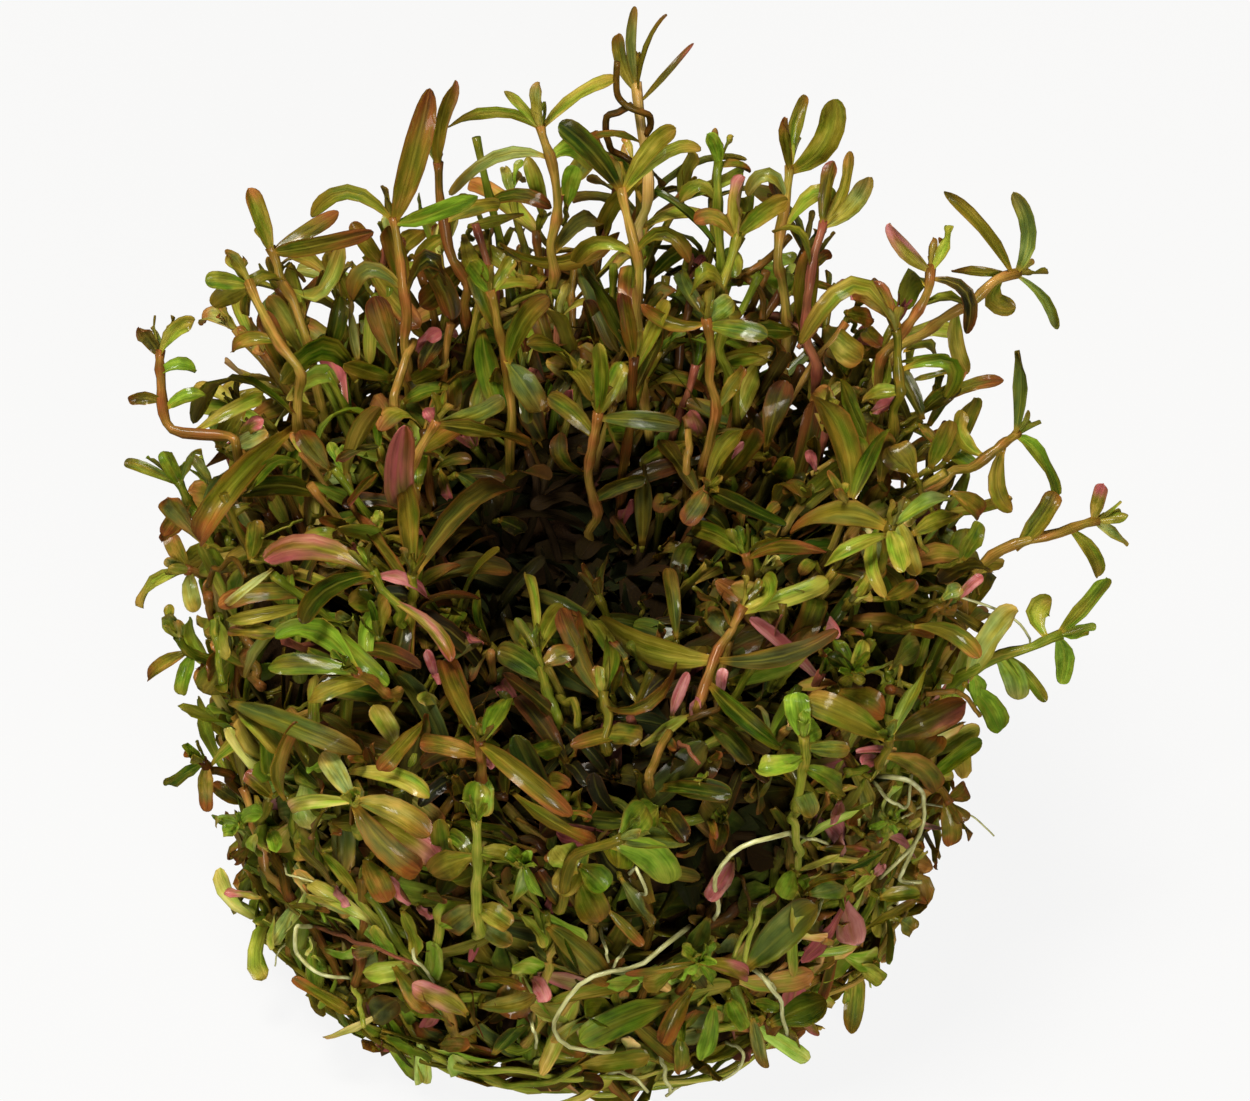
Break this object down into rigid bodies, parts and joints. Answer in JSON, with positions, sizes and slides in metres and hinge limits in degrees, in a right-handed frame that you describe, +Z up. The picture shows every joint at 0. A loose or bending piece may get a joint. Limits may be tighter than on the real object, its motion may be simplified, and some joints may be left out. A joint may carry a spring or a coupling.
{
  "type": "dwarf rotala clump",
  "caption": "Clump of dwarf rotala as grown in a cup: leafy shoots over a packed tangle of stems, leaves and roots, standing on its flat underside.",
  "frame": {"origin": "centre of the small flat spot that the clump rests on", "axes": "+Z up, away from the surface it rests on; -Y is the front that the picture shows; +X is the picture's right"},
  "size_m": [0.0914, 0.0824, 0.0821],
  "materials": {
    "shoot": "wet, glossy olive-green leaves with red-brown tips on orange-tan stems",
    "tangle": "wet olive and yellow-green leaves pressed together, dark brown between them",
    "root": "smooth, pale green-white roots"
  },
  "bodies": {
    "root": {"packed_tangle": "tangle", "shoot_arc_right": "shoot", "shoot_arching_left": "shoot", "shoot_big_blade": "shoot", "shoot_big_oval": "shoot", "shoot_bright_chain": "shoot", "shoot_bright_left": "shoot", "shoot_bright_node": "shoot", "shoot_bright_right": "shoot", "shoot_bright_tuft": "shoot", "shoot_brown_cluster": "shoot", "shoot_brown_tip": "shoot", "shoot_centre_whorl": "shoot", "shoot_cup_back_right": "shoot", "shoot_curly_front": "shoot", "shoot_dark_green": "shoot", "shoot_dark_right": "shoot", "shoot_far_left": "shoot", "shoot_far_right": "shoot", "shoot_folded_pink": "shoot", "shoot_green_left": "shoot", "shoot_hanging_leaf": "shoot", "shoot_hook_left": "shoot", "shoot_left_tall": "shoot", "shoot_long_leaf": "shoot", "shoot_low_green_right": "shoot", "shoot_low_left": "shoot", "shoot_olive_tuft": "shoot", "shoot_orange_low_right": "shoot", "shoot_orange_node_front": "shoot", "shoot_orange_node_right": "shoot", "shoot_pale_stem": "shoot", "shoot_pink_upright": "shoot", "shoot_red_folded": "shoot", "shoot_red_stem": "shoot", "shoot_round_leaves": "shoot", "shoot_round_left": "shoot", "shoot_round_low_left": "shoot", "shoot_small_back": "shoot", "shoot_star_back": "shoot", "shoot_star_front_left": "shoot", "shoot_star_right": "shoot", "shoot_tallest": "shoot", "shoot_thin_left": "shoot", "shoot_upright_right": "shoot"}
  },
  "joints": []
}
